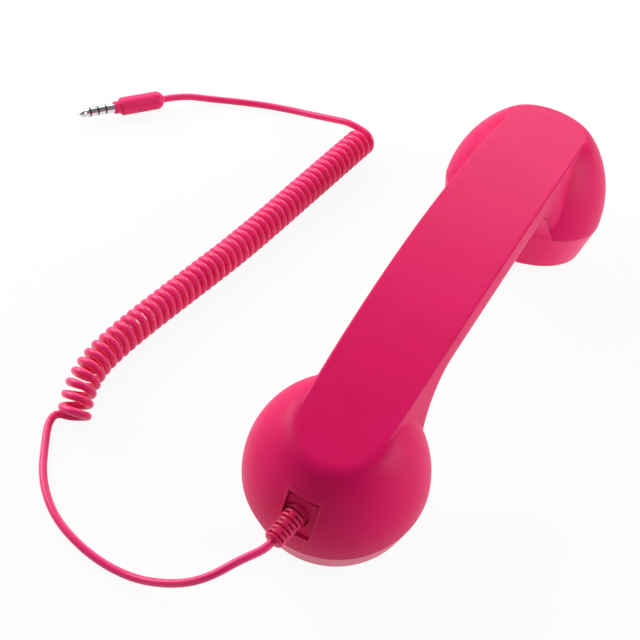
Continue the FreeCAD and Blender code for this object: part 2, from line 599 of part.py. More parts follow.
# Speaker in the ear cup, standing on its gasket.
DECK = f"(gasket_thick - {FLOOR_TOP})"
BACK = f"({DECK} + speaker_depth)"
LEDGE = f"({DECK} + basket_rim - basket_sheet)"
LIP = f"({SPEAKER} - basket_lip)"
THROAT = f"({LIP} - basket_seat)"
HILL = f"({LEDGE} + cone_rise)"
keep(turned("speaker_gasket",
            [(OPENING["ear"], f"-{FLOOR_TOP}"), (SPEAKER, f"-{FLOOR_TOP}"), (SPEAKER, DECK),
                               (OPENING["ear"], DECK)], place=CUPS["ear"]), "speaker_gasket")
keep(turned("speaker_basket", [(LIP, DECK), (SPEAKER, DECK), (SPEAKER, f"{DECK} + basket_rim"),
                               (f"{THROAT} + basket_sheet", f"{DECK} + basket_rim"),
                               (f"{THROAT} + basket_sheet - basket_lean", BACK), ("basket_vent", BACK),
                               ("basket_vent", f"{BACK} - basket_sheet"),
                               (f"{THROAT} - basket_lean", f"{BACK} - basket_sheet"), (THROAT, LEDGE),
                               (LIP, LEDGE)],
            place=CUPS["ear"]), "speaker_basket")
keep(turned("speaker_cone", [("0", f"{HILL} - cone_dip - cone_film"), ("cone_cap", f"{HILL} - cone_film"),
                             (f"{THROAT} - cone_gap", f"{LEDGE} - cone_film"),
                             (f"{LIP} - cone_gap", f"{LEDGE} - cone_film"), (f"{LIP} - cone_gap", LEDGE),
                             (f"{THROAT} - cone_gap", LEDGE), ("cone_cap", HILL),
                             ("0", f"{HILL} - cone_dip")],
            place=CUPS["ear"]), "speaker_cone")
keep(turned("speaker_magnet", [("0", BACK), ("magnet_radius", BACK),
                               ("magnet_radius", f"{BACK} + magnet_height - magnet_edge"),
                               ("magnet_radius - magnet_edge", f"{BACK} + magnet_height"),
                               ("0", f"{BACK} + magnet_height")], place=CUPS["ear"]), "speaker_magnet")

# Microphone in the mouth cup, in its rubber boot.
NEST = f"(mic_floor - {FLOOR_TOP})"
MIC_TOP = f"({NEST} + mic_height)"
keep(turned("mic_boot", [("mic_port", f"-{FLOOR_TOP}"), ("mic_radius + mic_rubber", f"-{FLOOR_TOP}"),
                         ("mic_radius + mic_rubber", f"{MIC_TOP} - mic_proud"),
                         ("mic_radius + mic_gap", f"{MIC_TOP} - mic_proud"),
                         ("mic_radius + mic_gap", NEST),
                         ("mic_port", NEST)], place=CUPS["mouth"]), "mic_boot")
keep(turned("mic_capsule", [("0", NEST), ("mic_radius", NEST), ("mic_radius", f"{MIC_TOP} - mic_edge"),
                            ("mic_radius - mic_edge", MIC_TOP), ("0", MIC_TOP)], place=CUPS["mouth"]),
     "mic_capsule")

# Call button, its plunger, switch and board in the handle.
PRESS = f"({GUIDE} + flange_gap)"
LOW = f"({UNDER} - button_proud)"
LID = f"({PRESS} + flange_thick)"
FACE = f"({LID} + button_travel + plunger_gap)"
keep(turned("call_button", [("0", f"{LOW} + button_dip"), ("button_radius - button_lip", LOW),
                            ("button_radius - button_edge", LOW),
                            ("button_radius", f"{LOW} + button_edge"),
                            ("button_radius", PRESS), ("button_radius + flange_lap", PRESS),
                            ("button_radius + flange_lap", LID), ("0", LID)], place=button_spot),
     "call_button")
ROOM_END = f"({BOARD} - switch_cover)"
STEM_TOP = f"({ROOM_END} - button_travel - plunger_gap)"
keep(turned("switch_plunger",
            [("0", LID), ("plunger_radius", LID), ("plunger_radius", STEM_TOP), ("0", STEM_TOP)],
            place=button_spot), "switch_plunger")
switch_box = block("switch_box", ("-switch_side / 2", "-switch_side / 2", FACE),
                   ("switch_side / 2", "switch_side / 2", BOARD), button_spot)
switch_bore = turned("switch_bore", [("0", LID), ("plunger_radius + plunger_gap", LID),
                                     ("plunger_radius + plunger_gap", ROOM_END), ("0", ROOM_END)],
                     place=button_spot)
keep(cut("tact_switch", switch_box, [switch_bore]), "tact_switch")
DECK_TOP = f"({BOARD} + board_thick)"
board_holes = [turned(f"board_hole_{index}",
                      [("0", f"{BOARD} - 1"), ("post_screw + screw_gap", f"{BOARD} - 1"),
                                              ("post_screw + screw_gap", f"{DECK_TOP} + 1"),
                       ("0", f"{DECK_TOP} + 1")],
                      place=spot) for index, spot in enumerate(post_spots)]
board_slab = block("board_slab", ("-board_length / 2", "-board_width / 2", BOARD),
                   ("board_length / 2", "board_width / 2", DECK_TOP), button_spot)
keep(cut("button_board", board_slab, board_holes), "button_board")
HEAD_TOP = f"({DECK_TOP} + post_head_depth)"
keep(joined("board_screws", [turned(f"board_screw_{index}",
                                    [("0", POST_TIP), ("post_screw", POST_TIP), ("post_screw", DECK_TOP),
                                     ("post_head", DECK_TOP), ("post_head", HEAD_TOP), ("0", HEAD_TOP)],
                                    place=spot) for index, spot in enumerate(post_spots)]),
     "board_screws")

# Cord boot: an anchor through the pocket's floor and a ribbed sleeve bent to one side.
ANCHOR_END = "-pocket_back - anchor_back"
keep(turned("cord_anchor",
            [("0", ANCHOR_END), ("anchor_flange", ANCHOR_END), ("anchor_flange", "-pocket_back"),
                            ("anchor_neck", "-pocket_back"), ("anchor_neck", "0"),
             ("boot_base + anchor_lap", "0"),
                            ("boot_base + anchor_lap", "anchor_seat"), ("0", "anchor_seat")],
            place=POCKET),
     "cord_anchor")
sleeve = turned("boot_sleeve", [("0", "-boot_base"), ("boot_base", "-boot_base"), ("boot_base", "0"),
                                ("boot_tip", "boot_length - boot_edge"),
                                ("boot_tip - boot_edge", "boot_length"),
                                ("0", "boot_length")], place=BOOT)
base_side = block("boot_base_side", ("-3 * boot_base", "-3 * boot_base", "-3 * boot_base"),
                  ("3 * boot_base", "3 * boot_base", "anchor_seat"), POCKET)
slots = []
for index in range(BOOT_SLOTS):
    low = f"(slot_first + {index} * slot_pitch)"
    ring = turned(f"slot_ring_{index}", [("boot_core", low), ("2 * boot_base", low),
                                         ("2 * boot_base", f"{low} + slot_width"),
                                         ("boot_core", f"{low} + slot_width")],
                  place=BOOT)
    across, along = ("slot_bar", "3 * boot_base") if index % 2 == 0 else ("3 * boot_base", "slot_bar")
    bars = block(f"slot_bars_{index}", (f"-{across}", f"-{along}", f"{low} - slot_width"),
                 (across, along, f"{low} + 2 * slot_width"), BOOT)
    slots.append(cut(f"slot_{index}", ring, [bars]))
keep(cut("strain_relief", sleeve, [base_side] + slots), "strain_relief")

# Headset plug, turned about the plug's own axis from its rear.
NECK, SHOULDER = "plug_length", "(plug_length + collar_length)"
keep(turned("plug_body", [("0", "0"), ("plug_rear", "0"), ("plug_radius", "plug_shoulder"),
                          ("plug_radius", "plug_length - plug_edge"), ("plug_radius - plug_edge", NECK),
                          ("0", NECK)],
            {1: "plug_round"}, PLUG), "plug_body")
keep(turned("plug_collar",
            [("0", NECK), ("collar_radius", NECK), ("collar_radius", f"{SHOULDER} - collar_edge"),
                            ("collar_radius - collar_edge", SHOULDER), ("0", SHOULDER)], place=PLUG),
     "plug_collar")
marks = [f"{SHOULDER} + sleeve_length + {index} * (ring_length + ring_gap)" for index in range(3)]
stretches = [("plug_sleeve", SHOULDER, marks[0]), ("plug_ring_2", f"{marks[0]} + ring_gap", marks[1]),
             ("plug_ring_1", f"{marks[1]} + ring_gap", marks[2])]
for label, low, high in stretches:
    keep(turned(label, [("0", low), ("pin_radius", low), ("pin_radius", high), ("0", high)], place=PLUG),
         label)
keep(joined("plug_insulators", [turned(f"insulator_{index}", [("0", low), ("pin_radius", low),
                                                              ("pin_radius", f"{low} + ring_gap"),
                                                              ("0", f"{low} + ring_gap")], place=PLUG)
                                for index, low in enumerate(marks)]), "plug_insulators")
ROOT, END = f"({marks[2]} + ring_gap)", f"({SHOULDER} + pin_length)"
FALL = f"({ROOT} + tip_root + tip_fall)"
keep(turned("plug_tip", [("0", ROOT), ("pin_radius", ROOT), ("pin_radius", f"{ROOT} + tip_root"),
                         ("pin_radius - groove_depth", FALL),
                         ("pin_radius - swell_less", f"{FALL} + tip_swell"),
                         ("tip_end", END), ("0", END)], place=PLUG), "plug_tip")


def run_and_arc(points):
    """Straight runs joined by tangent arcs, and the radii of those arcs."""
    edges, radii, last = [], [], points[0]
    for before, corner, after in zip(points, points[1:], points[2:]):
        back, ahead = before - corner, after - corner
        half = (math.pi - back.getAngle(ahead)) / 2
        reach = 0.45 * min(back.Length, ahead.Length)
        radii.append(reach / math.tan(half))
        start, end = corner + back.normalize() * reach, corner + ahead.normalize() * reach
        inward = (back + ahead).normalize()
        middle = corner + inward * (math.hypot(reach, radii[-1]) - radii[-1])
        edges += [Part.LineSegment(last, start).toShape(), Part.Arc(start, middle, end).toShape()]
        last = end
    edges.append(Part.LineSegment(last, points[-1]).toShape())
    return edges, radii


def piped(label, edges, radius):
    """One unbroken round tube along a path."""
    path = Part.Wire(edges)
    first = edges[0]
    ring = Part.Wire([Part.Circle(first.valueAt(first.FirstParameter),
                                  first.tangentAt(first.FirstParameter),
                                  mm(radius)).toShape()])
    item = doc.addObject("Part::Feature", label)
    item.Shape = path.makePipeShell([ring], True, False)
    item.Placement = Placement()
    share = item.Shape.Volume / (math.pi * mm(radius) ** 2 * path.Length)
    print(f"{label}: {path.Length:.1f} mm long, volume {share:.4f} of section times length")
    return keep(item, label)


def cord(label, points, radius):
    """Free stretch of cord through route points."""
    edges, radii = run_and_arc(points)
    print(label, "bend radii", " ".join(f"{bend:.1f}" for bend in radii))
    return piped(label, edges, radius)


def bow(start, way, end):
    """Arc from a point along a direction to another point."""
    chord = end - start
    bulge = way - chord * (way.dot(chord) / chord.dot(chord))
    turn = way.getAngle(chord)
    middle = (start + end) / 2 + bulge.normalize() * (chord.Length / 2 * math.tan(turn / 2))
    return Part.Arc(start, middle, end).toShape()


def biarc(start, way, end, out):
    """Two arcs with one tangent in common between two points with given directions."""
    chord, both = end - start, way + out
    lean = 2 * (1 - way.dot(out))
    reach = (-chord.dot(both) + math.sqrt(chord.dot(both) ** 2 + lean * chord.dot(chord))) / lean
    joint = (start + end + (way - out) * reach) / 2
    middle = (end - out * reach) - (start + way * reach)
    return [bow(start, way, joint), bow(joint, middle.normalize(), end)]


def curl_edges(start, way, end, out):
    """Path of the coil: a straight end, curls resting on the table along the axis, a straight end."""
    axis = Part.BSplineCurve()
    axis.buildFromPoles([point(CORD_FRAME, *spot, mm("cord_radius")) for spot in CURL_AXIS], False, 2)
    axis = axis.toShape()
    radius, straight, settle = mm("coil_radius"), mm("2 * cord_radius"), mm("coil_settle")
    steps = []
    while len(steps) % 2 == 0 or sum(steps) < axis.Length:
        steps.append(mm("coil_pitch / 2") + mm("coil_loose / 2") * math.exp(-len(steps) / settle))
    stretch = axis.Length / sum(steps)
    knots = [(start + way * straight, way)]
    travel = 0.0
    for half in range(len(steps) + 1):
        spot = axis.getParameterByLength(min(travel, axis.Length))
        ahead = axis.tangentAt(spot)
        lean = math.radians(mm("coil_lean")) * math.exp(-half / settle)
        left, upright = Vector(-ahead.y, ahead.x, 0), Vector(0, 0, 1)
        lift = upright * math.cos(lean) - ahead * math.sin(lean)
        centre = axis.valueAt(spot) + upright * (radius * math.cos(lean))
        step = stretch * steps[min(half, len(steps) - 1)]
        side = -1 if half % 2 == 0 else 1
        knots.append((centre + lift * (side * radius),
                      (ahead * (step / math.pi) + left * (side * radius)).normalize()))
        travel += step
    knots.append((end - out * straight, out))
    edges = [Part.LineSegment(start, knots[0][0]).toShape()]
    for (here, way_here), (there, way_there) in zip(knots, knots[1:]):
        edges += biarc(here, way_here, there, way_there)
    edges.append(Part.LineSegment(knots[-1][0], end).toShape())
    print(f"{len(steps)} half curls, stretched by {stretch:.3f}")
    return edges


def least_gap(edges, radius):
    """Smallest clear distance between neighbouring curls, measured on points of the path."""
    spots = [spot for edge in edges[1:-1] for spot in edge.discretize(9)[:-1]]
    turn = 32
    return min(spot.distanceToPoint(other) for index, spot in enumerate(spots)
               for other in spots[index + turn // 2:index + 2 * turn]) - 2 * radius


lead = [BOOT_END,
        point(BOOT, 0, 0, mm("boot_length") + LEAD_OUT)] + [point(CORD_FRAME, *spot) for spot in LEAD_ROUTE]
tail = [point(CORD_FRAME, *spot) for spot in TAIL_ROUTE] + [point(PLUG, 0, 0, -PLUG_LEAD),
                                                            point(PLUG, 0, 0, 0)]
cord("cord_lead", lead, "cord_radius")
curls = curl_edges(lead[-1], (lead[-1] - lead[-2]).normalize(), tail[0], (tail[1] - tail[0]).normalize())
print(f"least gap between curls {least_gap(curls, mm('cord_radius')):.2f} mm")
print(f"tightest curl arc {min(edge.Curve.Radius for edge in curls[1:-1]):.2f} mm")
piped("cord_curls", curls, "cord_radius")
cord("cord_tail", tail, "cord_radius")

# Leads inside the handset, from the speaker, the microphone and the cord to the board.
deck = mm(f"{DECK_TOP} + lead_radius + lead_gap")
ear_end, mouth_end = (mm("button_place") + hand * mm("board_length / 2") for hand in (1, -1))
rim = mm(f"({THROAT} + basket_sheet + {SPEAKER}) / 2")
reach = math.sqrt(rim ** 2 - 4.5 ** 2)
cord("speaker_lead", [Vector(ear_end - 8, 4.5, deck), Vector(ear_end + 6, 4.5, deck),
                      Vector(ear_end + 15, 4.5, deck - 6), Vector(ear_end + 22, 4.5, deck - 16),
                      point(CUPS["ear"], -reach, 4.5, mm(DECK) + 8),
                      point(CUPS["ear"], -reach, 4.5, mm(f"{DECK} + basket_rim"))],
     "lead_radius")
cord("mic_lead", [Vector(mouth_end + 8, 4.5, deck), Vector(mouth_end - 6, 4.5, deck),
                  Vector(mouth_end - 20, 4.5, deck - 1), Vector(mouth_end - 38, 4, deck - 7),
                  Vector(mouth_end - 56, 2, deck - 14), point(CUPS["mouth"], 0, 0, 9),
                  point(CUPS["mouth"], 0, 0, mm(MIC_TOP))], "lead_radius")
cord("cord_core", [Vector(mouth_end + 8, -4.5, deck), Vector(mouth_end - 6, -4.5, deck),
                   Vector(mouth_end - 20, -4.5, deck - 1), Vector(mouth_end - 38, -4.5, deck - 5),
                   Vector(mouth_end - 58, -4, deck - 11), Vector(mouth_end - 74, -2, deck - 17),
                   point(POCKET, 0, 0, -9), point(POCKET, 0, 0, mm(ANCHOR_END))], "lead_radius")

doc.recompute()
for item in doc.Objects:
    if "Invalid" in item.State or "Error" in item.State:
        raise RuntimeError(f"{item.Name} did not build: {item.State}")
for item in pieces:
    if item.Shape.isNull() or not item.Shape.isValid() or not item.Shape.Solids:
        raise RuntimeError(f"{item.Label} has no valid solid")
os.makedirs("parts", exist_ok=True)
for item in pieces:
    item.Shape.exportStep(f"parts/{item.Label}.step")
    box = item.Shape.BoundBox
    print(f"{item.Label}: {len(item.Shape.Solids)} solid, {item.Shape.Volume:.0f} mm3, "
          f"x {box.XMin:.1f} {box.XMax:.1f}, y {box.YMin:.1f} {box.YMax:.1f}, "
          f"z {box.ZMin:.2f} {box.ZMax:.2f}")
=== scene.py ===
"""Looks of a retro telephone handset with a curly cord and a headset plug.

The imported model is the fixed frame: metres, +Z up, +X from the mouth cup to the ear cup. Every CAD
node that stays gets a worked finish here. Two pieces are made in this script: the moulded seat in the
pocket under the boot, and the cord, one line that runs from the boot through its curls to the plug.
"""

import logging
import math
from dataclasses import dataclass, field
from enum import Enum
from typing import Any, Callable, Iterable, Sequence

import bmesh
import bpy
from mathutils import Matrix, Vector

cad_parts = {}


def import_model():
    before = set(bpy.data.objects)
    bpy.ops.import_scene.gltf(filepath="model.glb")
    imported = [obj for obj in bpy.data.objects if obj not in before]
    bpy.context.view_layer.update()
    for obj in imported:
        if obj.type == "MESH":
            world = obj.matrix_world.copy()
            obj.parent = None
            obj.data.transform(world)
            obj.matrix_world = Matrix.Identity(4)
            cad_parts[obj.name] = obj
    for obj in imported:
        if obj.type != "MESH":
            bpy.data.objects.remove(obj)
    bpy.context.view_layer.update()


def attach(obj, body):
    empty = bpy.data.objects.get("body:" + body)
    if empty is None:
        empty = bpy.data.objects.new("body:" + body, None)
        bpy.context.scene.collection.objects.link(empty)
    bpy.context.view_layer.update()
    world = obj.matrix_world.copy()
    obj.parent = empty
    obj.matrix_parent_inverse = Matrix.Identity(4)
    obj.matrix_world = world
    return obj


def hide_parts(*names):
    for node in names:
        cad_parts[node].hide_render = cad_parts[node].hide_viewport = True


LOG = logging.getLogger("handset")
MM = 0.001
WHITE = (1.0, 1.0, 1.0, 1.0)
Colour = tuple[float, float, float]
Point = tuple[float, float, float]
Socket = bpy.types.NodeSocket


class Grain(Enum):
    """Surface relief of a finish."""

    SMOOTH = "smooth"
    MOULDED = "moulded"
    WOVEN = "woven"
    BRUSHED = "brushed"
    TURNED = "turned"


# Relief: stretch of the noise, noise repeats per thread of a weave, and strength of the bump.
GRAIN_STRETCH: dict[Grain, Point] = {
    Grain.MOULDED: (1.0, 1.0, 1.0), Grain.BRUSHED: (1.0, 1.0, 30.0), Grain.TURNED: (1.0, 1.0, 0.04)}
GRAIN_DETAIL = 2.0
THREAD_RATIO = 6.3
THREAD_WAVINESS = 1.2
BUMP_STRENGTH = 0.6
# Colour: ramp positions of the deep, main and light colour, and smudges per colour patch.
PATCH_STOPS = (0.25, 0.5, 0.78)
PATCH_DETAIL = 4.0
SMUDGE_RATIO = 3.7
SMUDGE_DETAIL = 5.0
# Edges painted paler, partly wear and partly painted highlight: agreement of the normals at which the
# paling starts and is full, and its patchiness.
EDGE_SAMPLES = 6
EDGE_START = 0.99
EDGE_FULL = 0.8
WEAR_AND_HIGHLIGHT_RATIO = 9.0
WEAR_AND_HIGHLIGHT_DETAIL = 3.0
WEAR_AND_HIGHLIGHT_SHARE = (0.3, 0.9)
# Layers over and under the surface.
SHEEN_ROUGHNESS = 0.35
COAT_ROUGHNESS = 0.3
SCATTER_RADIUS = (1.0, 0.25, 0.35)
SCATTER_SCALE = 0.0015


def srgb(red: int, green: int, blue: int) -> Colour:
    """Turn a screen colour into the linear colour that a shader takes.

    Args:
        red: Red from 0 to 255.
        green: Green from 0 to 255.
        blue: Blue from 0 to 255.

    Returns:
        The three linear parts.
    """
    def linear(part: int) -> float:
        """Linear value of one part."""
        share = part / 255
        return share / 12.92 if share <= 0.04045 else ((share + 0.055) / 1.055) ** 2.4
    return linear(red), linear(green), linear(blue)


def only(item: bpy.types.Object) -> None:
    """Select one object alone and make it active.

    Args:
        item: The object.
    """
    bpy.ops.object.select_all(action="DESELECT")
    item.select_set(True)
    bpy.context.view_layer.objects.active = item


class Wiring:
    """Small helper that adds and joins the nodes of one node tree."""

    def __init__(self, tree: bpy.types.NodeTree) -> None:
        """Keep the tree and empty it."""
        self.tree = tree
        tree.nodes.clear()

    def add(self, kind: str, links: dict[str, Any] | None = None, **settings: Any) -> bpy.types.Node:
        """Add a node.

        Args:
            kind: Node type.
            links: Input socket, by name or number, to an output socket or a plain value.
            settings: Attributes of the node.

        Returns:
            The new node.
        """
        node = self.tree.nodes.new(kind)
        for name, value in settings.items():
            setattr(node, name, value)
        for name, value in (links or {}).items():
            socket = node.inputs[int(name)] if name.isdigit() else node.inputs[name]
            if isinstance(value, Socket):
                self.tree.links.new(value, socket)
            else:
                socket.default_value = value
        return node

    def noise(self, place: Socket, scale: float, detail: float) -> Socket:
        """Noise from 0 to 1.

        Args:
            place: Coordinates.
            scale: Repeats per metre.
            detail: Octaves of finer noise.

        Returns:
            The noise's factor socket.
        """
        links = {"Vector": place, "Scale": scale, "Detail": detail}
        return self.add("ShaderNodeTexNoise", links).outputs["Fac"]

    def combine(self, operation: str, first: Any, second: Any) -> Socket:
        """Combine two numbers.

        Args:
            operation: Name of the math operation.
            first: First socket or value.
            second: Second socket or value.

        Returns:
            The result's socket.
        """
        node = self.add("ShaderNodeMath", {"0": first, "1": second}, operation=operation)
        return node.outputs["Value"]

    def spread(self, factor: Socket, low: float, high: float) -> Socket:
        """Map a factor of 0 to 1 onto a range."""
        links = {"Value": factor, "To Min": low, "To Max": high}
        return self.add("ShaderNodeMapRange", links).outputs["Result"]

    def ramp(self, factor: Socket, stops: Sequence[tuple[float, Colour]]) -> Socket:
        """Colour ramp over a factor.

        Args:
            factor: The socket that drives the ramp.
            stops: Positions and colours, in order.

        Returns:
            The ramp's colour socket.
        """
        node = self.add("ShaderNodeValToRGB", {"Fac": factor})
        while len(node.color_ramp.elements) < len(stops):
            node.color_ramp.elements.new(0.5)
        for element, (place, colour) in zip(node.color_ramp.elements, stops):
            element.position = place
            element.color = (*colour, 1.0)
        return node.outputs["Color"]


@dataclass(frozen=True)
class Finish:
    """One procedural finish.

    Attributes:
        name: Name of the material.
        deep: Colour of the darker patches.
        main: Colour of most of the surface.
        light: Colour of the paler patches.
        roughness: Lowest and highest roughness.
        grain: Kind of surface relief.
        grain_scale: Repeats of the relief per metre.
        grain_depth: Depth of the relief in metres.
        metal: True for bare metal.
        gloss: Level of the plain reflection, 0.5 for ordinary plastic.
        sheen: Weight of the soft-touch sheen.
        coat: Weight of a clear coat.
        patch_scale: Repeats of the colour variation per metre.
        edge: Radius over which edges look rounded, in metres, 0 for none.
        worn_and_highlit: Colour that edges are painted towards, partly wear and partly a painted
            highlight.
        depth: Share of light that goes under the surface.
    """

    name: str
    deep: Colour
    main: Colour
    light: Colour
    roughness: tuple[float, float] = (0.4, 0.55)
    grain: Grain = Grain.MOULDED
    grain_scale: float = 2600.0
    grain_depth: float = 0.00002
    metal: bool = False
    gloss: float = 0.5
    sheen: float = 0.0
    coat: float = 0.0
    patch_scale: float = 30.0
    edge: float = 0.0
    worn_and_highlit: Colour = (0.8, 0.8, 0.8)
    depth: float = 0.0

    def worn_and_highlit_edges(self, wiring: Wiring, place: Socket, colour: Socket) -> tuple[Socket, Socket]:
        """Rounded normal at the edges, and the colour with its edges painted paler, partly as wear and
        partly as a painted highlight.

        Args:
            wiring: Nodes of the material.
            place: Object coordinates.
            colour: Colour of the open surface.

        Returns:
            The normal socket and the new colour socket.
        """
        bevel = wiring.add("ShaderNodeBevel", {"Radius": self.edge}, samples=EDGE_SAMPLES)
        soft = bevel.outputs["Normal"]
        plain = wiring.add("ShaderNodeNewGeometry").outputs["Normal"]
        agree = wiring.add("ShaderNodeVectorMath", {"0": soft, "1": plain}, operation="DOT_PRODUCT")
        near = wiring.add("ShaderNodeMapRange", {
            "Value": agree.outputs["Value"], "From Min": EDGE_START, "From Max": EDGE_FULL})
        # Edges paled towards a paler colour, in patches: partly wear, partly a painted highlight.
        patchy = wiring.noise(place, self.patch_scale * WEAR_AND_HIGHLIGHT_RATIO, WEAR_AND_HIGHLIGHT_DETAIL)
        share = wiring.combine("MULTIPLY", near.outputs["Result"], wiring.spread(patchy, *WEAR_AND_HIGHLIGHT_SHARE))
        mixed = wiring.add("ShaderNodeMix", {"0": share, "6": colour, "7": (*self.worn_and_highlit, 1.0)},
                           data_type="RGBA")
        return soft, mixed.outputs[2]

    def relief(self, wiring: Wiring, place: Socket) -> Socket | None:
        """Height field of the grain.

        Args:
            wiring: Nodes of the material.
            place: Object coordinates.

        Returns:
            A height socket, or None on a smooth surface.
        """
        if self.grain is Grain.SMOOTH:
            return None
        if self.grain is Grain.WOVEN:
            thread = {"Vector": place, "Scale": self.grain_scale / THREAD_RATIO,
                      "Distortion": THREAD_WAVINESS}
            waves = [wiring.add("ShaderNodeTexWave", thread, bands_direction=axis).outputs["Fac"]
                     for axis in ("X", "Y")]
            return wiring.combine("MAXIMUM", *waves)
        mapped = wiring.add("ShaderNodeMapping", {"Vector": place, "Scale": GRAIN_STRETCH[self.grain]})
        return wiring.noise(mapped.outputs["Vector"], self.grain_scale, GRAIN_DETAIL)

    def build(self) -> bpy.types.Material:
        """Make the material.

        Returns:
            The new material.
        """
        material = bpy.data.materials.new(self.name)
        material.use_nodes = True
        wiring = Wiring(material.node_tree)
        place = wiring.add("ShaderNodeTexCoord").outputs["Object"]
        patches = wiring.noise(place, self.patch_scale, PATCH_DETAIL)
        colour = wiring.ramp(patches, tuple(zip(PATCH_STOPS, (self.deep, self.main, self.light))))
        smudges = wiring.noise(place, self.patch_scale * SMUDGE_RATIO, SMUDGE_DETAIL)
        rough = wiring.spread(smudges, *self.roughness)
        normal = None
        if self.edge:
            # Paler edges: partly wear, partly a painted highlight.
            normal, colour = self.worn_and_highlit_edges(wiring, place, colour)
        height = self.relief(wiring, place)
        if height is not None:
            bump = wiring.add("ShaderNodeBump", {
                "Height": height, "Strength": BUMP_STRENGTH, "Distance": self.grain_depth})
            if normal:
                wiring.tree.links.new(normal, bump.inputs["Normal"])
            normal = bump.outputs["Normal"]
        shader = wiring.add("ShaderNodeBsdfPrincipled", {
            "Base Color": colour, "Roughness": rough, "Metallic": 1.0 if self.metal else 0.0,
            "Specular IOR Level": self.gloss,
            "Sheen Weight": self.sheen, "Sheen Roughness": SHEEN_ROUGHNESS,
            "Coat Weight": self.coat, "Coat Roughness": COAT_ROUGHNESS,
            "Subsurface Weight": self.depth, "Subsurface Radius": SCATTER_RADIUS,
            "Subsurface Scale": SCATTER_SCALE})
        if normal:
            wiring.tree.links.new(normal, shader.inputs["Normal"])
        wiring.add("ShaderNodeOutputMaterial", {"Surface": shader.outputs["BSDF"]})
        return material


# The paler edge colours of the pink finishes are partly wear and partly a painted highlight on their
# edges.
SOFT_PINK = Finish(
    "soft_touch_pink", srgb(218, 8, 88), srgb(226, 10, 96), srgb(232, 15, 105), roughness=(0.4, 0.5),
    gloss=0.15, grain_scale=3200.0, grain_depth=0.000012, edge=0.00045, worn_and_highlit=srgb(244, 92, 146))
INNER_PINK = Finish(
    "inner_pink", srgb(238, 18, 100), srgb(247, 24, 109), srgb(252, 32, 117), roughness=(0.34, 0.46),
    gloss=0.32, grain_scale=3200.0, grain_depth=0.000012, edge=0.00045, worn_and_highlit=srgb(246, 104, 152))
CAP_PINK = Finish(
    "cap_pink", srgb(228, 20, 92), srgb(238, 26, 102), srgb(246, 34, 110), roughness=(0.36, 0.48),
    gloss=0.25, grain_scale=3600.0, grain_depth=0.00001, edge=0.0003, worn_and_highlit=srgb(244, 92, 146))
CORD_PINK = Finish(
    "cord_pink", srgb(248, 30, 112), srgb(253, 40, 121), srgb(255, 54, 131), roughness=(0.3, 0.42),
    gloss=0.42, sheen=0.35, grain=Grain.SMOOTH, patch_scale=60.0, depth=0.06)
BOOT_PINK = Finish(
    "boot_pink", srgb(218, 14, 86), srgb(228, 20, 96), srgb(236, 30, 106), roughness=(0.36, 0.48),
    gloss=0.28, grain_scale=4200.0, grain_depth=0.00001, patch_scale=90.0, edge=0.00025,
    worn_and_highlit=srgb(248, 100, 150))
PLUG_PINK = Finish(
    "plug_pink", srgb(234, 28, 98), srgb(242, 36, 108), srgb(250, 46, 118), roughness=(0.38, 0.5),
    gloss=0.3, grain_scale=4200.0, grain_depth=0.00001, patch_scale=90.0, edge=0.0003,
    worn_and_highlit=srgb(244, 92, 146))
NICKEL = Finish(
    "bright_nickel", srgb(196, 196, 202), srgb(220, 220, 224), srgb(236, 236, 238),
    roughness=(0.1, 0.2), grain=Grain.TURNED, grain_scale=9000.0, grain_depth=0.000003, metal=True,
    patch_scale=200.0)
INSULATOR = Finish(
    "pin_insulator", srgb(14, 14, 15), srgb(24, 24, 26), srgb(36, 36, 38), roughness=(0.25, 0.35),
    patch_scale=300.0)
ZINC = Finish(
    "zinc_plate", srgb(150, 152, 158), srgb(178, 180, 186), srgb(204, 206, 210),
    roughness=(0.24, 0.4), grain=Grain.TURNED, grain_scale=7000.0, grain_depth=0.000004, metal=True,
    patch_scale=160.0)
BLACK_RUBBER = Finish(
    "black_rubber", srgb(20, 20, 21), srgb(32, 32, 33), srgb(46, 46, 47), roughness=(0.6, 0.75),
    grain_scale=5000.0, patch_scale=80.0)
FELT = Finish(
    "black_felt", srgb(22, 22, 24), srgb(36, 36, 38), srgb(56, 56, 60), roughness=(0.85, 0.95),
    grain=Grain.WOVEN, grain_scale=4200.0, grain_depth=0.00012, sheen=0.3, patch_scale=400.0)
BASKET = Finish(
    "basket_black", srgb(26, 26, 28), srgb(40, 40, 42), srgb(58, 58, 60), roughness=(0.35, 0.5),
    patch_scale=120.0)
CONE = Finish(
    "cone_film", srgb(60, 52, 44), srgb(82, 72, 62), srgb(108, 96, 84), roughness=(0.3, 0.45),
    grain=Grain.WOVEN, grain_scale=1500.0, grain_depth=0.00003, patch_scale=150.0)
CAN = Finish(
    "capsule_can", srgb(168, 168, 172), srgb(192, 192, 196), srgb(214, 214, 218),
    roughness=(0.25, 0.4), grain=Grain.BRUSHED, grain_scale=3000.0, grain_depth=0.000005, metal=True,
    patch_scale=200.0)
SWITCH = Finish(
    "switch_black", srgb(16, 16, 17), srgb(28, 28, 30), srgb(44, 44, 46), roughness=(0.3, 0.42),
    patch_scale=260.0)
BOARD = Finish(
    "board_lacquer", srgb(16, 74, 38), srgb(24, 98, 50), srgb(40, 124, 66), roughness=(0.25, 0.4),
    grain=Grain.WOVEN, grain_scale=2600.0, grain_depth=0.00001, coat=0.3, patch_scale=120.0)
LEAD = Finish(
    "lead_red", srgb(130, 16, 18), srgb(164, 24, 26), srgb(190, 44, 44), roughness=(0.35, 0.5),
    grain=Grain.SMOOTH, patch_scale=150.0)


